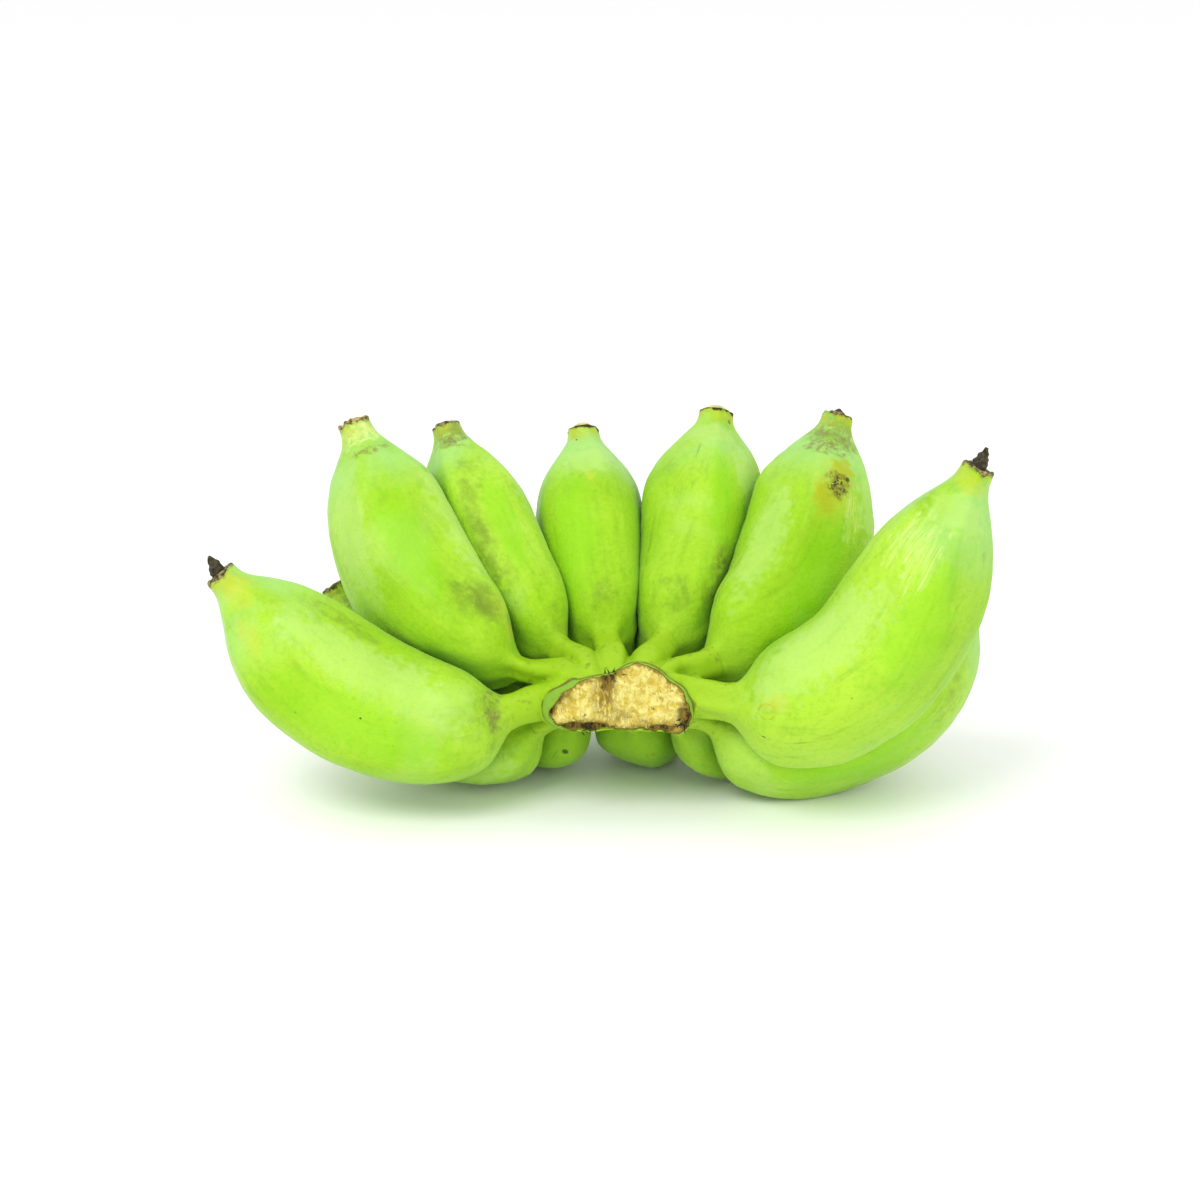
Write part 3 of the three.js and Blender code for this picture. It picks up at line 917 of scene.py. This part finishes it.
# Deep torn places in the flesh: right and up of the middle, half width, half height, depth. All in
# millimetres: the notch, the lower left edge, the right end, the lower right edge and the left end.
TEARS = [
    (-2.8, 7.0, 2.8, 5.0, 1.5), (-9.0, -9.0, 10.5, 2.2, 1.5), (21.3, -4.8, 2.8, 4.8, 1.5),
    (14.5, -9.2, 5.5, 1.9, 1.0), (-21.2, -2.2, 2.2, 4.5, 1.2), (-18.3, 1.2, 2.8, 1.6, 0.6),
]


def ragged(points, setting):
    """Seeded unevenness of a given strength and size."""
    strength, size, seed = setting
    return strength * waves(points, size, seed)


def shape_cut_face(piece):
    """Presses the torn flesh into the front of the crown, and raises a rim of skin round it."""
    mesh = piece.data
    points = np.empty(len(mesh.vertices) * 3)
    normals = np.empty(len(mesh.vertices) * 3)
    mesh.vertices.foreach_get("co", points)
    mesh.vertices.foreach_get("normal", normals)
    points, normals = points.reshape(-1, 3), normals.reshape(-1, 3)
    middle = crown_middle()
    depth = (points[:, 1] - middle[1]) / MM
    inside = inside_cut(points) + ragged(points, RAGGED_EDGE)
    front = smoothstep(-normals[:, 1], 0.15, 0.5) * (1.0 - smoothstep(depth, 2.0, 4.0))
    cut = smoothstep(inside, -0.2, 0.4) * front
    across = points * (1.0, 0.3, 1.0)
    flesh = FLESH_DEPTH + ragged(across, FLESH_LUMPS) + ragged(across, FLESH_GRAIN)
    tears = np.zeros(len(points))
    for x, z, half_width, half_height, deep in TEARS:
        offset = (points - middle)[:, [0, 2]] / MM - (x, z)
        distance = np.linalg.norm(offset / (half_width, half_height), axis=1) + ragged(points, RAGGED_TEARS)
        here = 1.0 - smoothstep(distance, 0.5, 1.1)
        flesh += deep * here
        tears = np.maximum(tears, here)
    rim = np.exp(-((inside + 0.5) / 0.5) ** 2) * front
    back = SKIN_FALLS_BACK * smoothstep(-inside, 0.8, 6.0) * (1.0 - smoothstep(depth, 1.0, 5.0))
    points[:, 1] += (cut * flesh - SKIN_RIM * rim + back) * MM
    mesh.vertices.foreach_set("co", points.ravel())
    mesh.update()
    store(piece, "cut", cut)
    store(piece, "depth", depth)
    store(piece, "inset", inside)
    store(piece, "torn", tears * cut)


CREAM = (0.86, 0.76, 0.25)
GOLD = (0.64, 0.48, 0.06)
TAN = (0.28, 0.18, 0.03)
DULL_GREEN = (0.16, 0.32, 0.04)

# Browned flesh: right and up of the middle, half width and half height in millimetres, strength.
BROWNED = [
    (-4.0, 2.0, 5.0, 10.0, 1.0), (-9.0, -7.5, 11.0, 2.6, 0.8), (12.0, -8.2, 10.0, 2.4, 0.8),
    (-17.0, 1.0, 5.0, 5.0, 0.5), (0.5, -5.0, 5.0, 3.5, 0.7),
]


# Browned places reach this far back from the face, in millimetres.
BROWNED_DEPTH = 20.0
CRUMB_SIZE = 2.2 * MM
STRAND_SIZE = 1.2 * MM
FLESH_BUMP = 1.1 * MM


def crown_skin_color(n, place):
    """The green skin round the torn face, dull in front and brown where it was sliced."""
    depth = n.attribute("depth", "Fac")
    green = n.mix(0.5, peel_color(n, place), STALK_GREEN)
    grime = n.span(n.noise(place, 0.004, 5.0, 0.65), 0.58, 0.72, 0.0, 0.45)
    green = n.mix(grime, green, MURK)
    front = n.times(n.span(depth, 1.5, 0.9), n.span(n.attribute("inset", "Fac"), 0.0, -0.5))
    green = n.mix(n.math("MULTIPLY", front, 0.7), green, DULL_GREEN)
    line = n.span(n.math("ABSOLUTE", n.math("SUBTRACT", depth, 1.1)), 0.55, 0.1)
    broken = n.span(n.noise(place, 0.005, 3.0), 0.36, 0.5)
    return n.mix(n.times(line, broken, 0.8), green, BROWN)


def flesh_color(n, place, crumbs, strands):
    """Cream flesh that browns at its edges and in the browned places, and turns nearly black to tan where
    it is torn deepest.
    """
    flesh = n.mix(n.span(crumbs, 0.36, 0.6), GOLD, CREAM)
    blotches = n.span(n.noise(place, 0.008, 3.0, 0.55), 0.5, 0.68)
    flesh = n.mix(n.math("MULTIPLY", blotches, 0.5), flesh, GOLD)
    from_edge = n.math("ADD", n.attribute("inset", "Fac"), n.span(crumbs, 0.3, 0.7, -1.2, 1.2))
    edges = n.span(from_edge, 3.2, 0.2)
    flesh = n.mix(n.math("MULTIPLY", edges, 0.8), flesh, n.mix(n.span(edges, 0.5, 0.9), GOLD, TAN))
    flesh = n.mix(n.span(strands, 0.56, 0.7, 0.0, 0.7), flesh, TAN)
    pits = n.span(n.noise(place, 0.003, 4.0, 0.7), 0.62, 0.7)
    flesh = n.mix(n.math("MULTIPLY", pits, 0.8), flesh, BROWN)
    for x, z, half_width, half_height, strength in BROWNED:
        spot = Matrix.Translation(Vector(crown_middle()) + Vector((x, 0.0, z)) * MM)
        size = (half_width * MM, BROWNED_DEPTH * MM, half_height * MM)
        near = n.length(n.local(place, spot, size))
        here = n.span(n.math("ADD", near, n.span(strands, 0.3, 0.7, -0.4, 0.4)), 1.1, 0.5)
        flesh = n.mix(n.times(here, n.span(strands, 0.36, 0.58), strength), flesh, n.mix(pits, TAN, BROWN))
    dark = n.mix(n.span(strands, 0.38, 0.6), NEARLY_BLACK, TAN)
    return n.mix(n.times(n.attribute("torn", "Fac"), 0.92), flesh, dark)


def crown_material():
    n = Nodes("crown")
    place = n.place()
    cut = n.attribute("cut", "Fac")
    crumbs = n.noise(place, CRUMB_SIZE, 5.0, 0.65, 0.4)
    strands = n.noise(n.stretched(place, (1.0, 1.0, 0.3)), STRAND_SIZE, 4.0, 0.65, 0.5)
    edge = n.math("ADD", cut, n.span(n.noise(place, 0.002, 3.0), 0.3, 0.7, -0.2, 0.2))
    green = crown_skin_color(n, place)
    flesh = flesh_color(n, place, crumbs, strands)
    color = n.mix(n.span(edge, 0.35, 0.6), green, flesh)
    patchy = n.span(n.noise(place, 0.006), 0.35, 0.55)
    rim = n.times(n.span(edge, 0.1, 0.4), n.span(edge, 0.85, 0.5), patchy)
    color = n.mix(n.math("MULTIPLY", rim, 0.9), color, BROWN)
    rough = n.span(cut, 0.2, 0.7, 0.45, 0.85)
    relief = n.math("ADD", crumbs, strands)
    normal = n.bump(n.times(relief, n.span(cut, 0.1, 0.6, 0.08, 1.0)), FLESH_BUMP)
    return n.finish(color, rough, normal)


# Tufts of strands: right and up of the middle, how far they reach up, in millimetres, and how many.
SHREDS = [(-1.2, 8.0, 2.2, 8), (-9.0, -9.0, -0.4, 10), (20.0, -8.0, 0.2, 8)]
SHREDS_SEED = 31
# A strand in millimetres: how deep its foot sits, its radius there and how much thinner it ends.
SHRED_ROOT_DEPTH = 2.4
SHRED_RADIUS = 0.34
SHRED_THINNING = 0.24
SHRED_SIDES = 6
SHRED_RINGS = 7


def add_shreds(material):
    """Dried strands that stick out of the notch, the lower edge and the right end of the torn face."""
    rng = np.random.default_rng(SHREDS_SEED)
    middle = crown_middle()
    points, faces = [], []
    turn = np.linspace(0.0, 2.0 * math.pi, SHRED_SIDES, endpoint=False)
    round_it = np.stack((np.cos(turn), np.zeros(SHRED_SIDES), np.sin(turn)), axis=1)
    for x, z, up, count in SHREDS:
        for _ in range(count):
            aside, above = rng.normal(0.0, 1.3), rng.normal(0.0, 0.6)
            foot = middle + np.array((x + aside, SHRED_ROOT_DEPTH, z + above)) * MM
            reach = np.array((rng.normal(0.0, 1.0), -rng.uniform(1.8, 2.8), up * rng.uniform(0.4, 1.3)))
            bend = rng.normal(0.0, 0.6, 3)
            rings = []
            for t in np.linspace(0.0, 1.0, SHRED_RINGS):
                radius = (SHRED_RADIUS - SHRED_THINNING * t) * MM
                rings.append(foot + (reach * t * 1.25 + bend * t * t) * MM + round_it * radius)
            more, more_faces = tube(np.array(rings))
            faces += [tuple(i + len(points) for i in face) for face in more_faces]
            points += list(more)
    piece = add_mesh("crown_shreds", points, faces, material)
    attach(piece, "root")


# ---------------------------------------------------------------- dried flower ends

ASHEN = (0.095, 0.09, 0.06)
STYLE_ROUGHNESS = 0.85
STYLE_FIBRES = 1.1 * MM
STYLE_BUMP = 0.6 * MM
STYLE_SIDES = 28
STYLE_RINGS = 26
# A dried style starts this far above the scar, in millimetres. How uneven it is, and how coarsely.
STYLE_START = 0.3
STYLE_UNEVENNESS = 0.26 * MM
STYLE_GRAIN = 2.4 * MM


def style_material():
    n = Nodes("dried_style")
    place = n.place()
    fibres = n.noise(place, STYLE_FIBRES, 5.0, 0.7)
    color = n.mix(n.span(fibres, 0.35, 0.7), NEARLY_BLACK, ASHEN)
    return n.finish(color, STYLE_ROUGHNESS, n.bump(fibres, STYLE_BUMP))


# Each dried style: its length, its radius at the foot, and how far its end bends up, in millimetres.
STYLES = {"upper_1": (5.0, 2.5, 2.2), "upper_6": (2.8, 2.3, 0.3), "upper_7": (6.0, 2.4, 1.0)}


def add_style(finger, material):
    """A shrivelled stalk in the place of the CAD one, uneven and slightly bent."""
    length, foot_radius, bend = STYLES[finger.name]
    foot = finger.centres[-1]
    along = finger.along[-1]
    side = unit(np.cross(along, (0.0, 1.0, 0.0)))
    other = np.cross(along, side)
    turn = np.linspace(0.0, 2.0 * math.pi, STYLE_SIDES, endpoint=False)
    rings = []
    for t in np.linspace(0.0, 1.0, STYLE_RINGS):
        centre = foot + (along * (length * t + STYLE_START) + np.array([0.0, 0.0, bend * t * t])) * MM
        knobs = 1.0 + 0.1 * math.sin(6.0 * t + finger.seed)
        radius = foot_radius * (1.0 - 0.4 * t) * (1.0 - 0.8 * t ** 6) * knobs * MM
        ring = centre + radius * (np.cos(turn)[:, None] * side + np.sin(turn)[:, None] * other)
        unevenness = waves(ring, STYLE_GRAIN, finger.seed + 9)[:, None] * STYLE_UNEVENNESS
        rings.append(ring + unit(ring - centre) * unevenness)
    points, faces = tube(np.array(rings))
    piece = add_mesh(f"flower_end_{finger.name}", points, faces, material)
    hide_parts(f"dried_style_{finger.name}")
    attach(piece, "root")


# ---------------------------------------------------------------- the scene

add_camera()
add_studio()
add_floor()
fingers = [add_finger(name) for name in UPPER + LOWER]
add_crown(fingers)
dried = style_material()
add_shreds(dried)
for finger in fingers:
    if finger.name in STYLES:
        add_style(finger, dried)
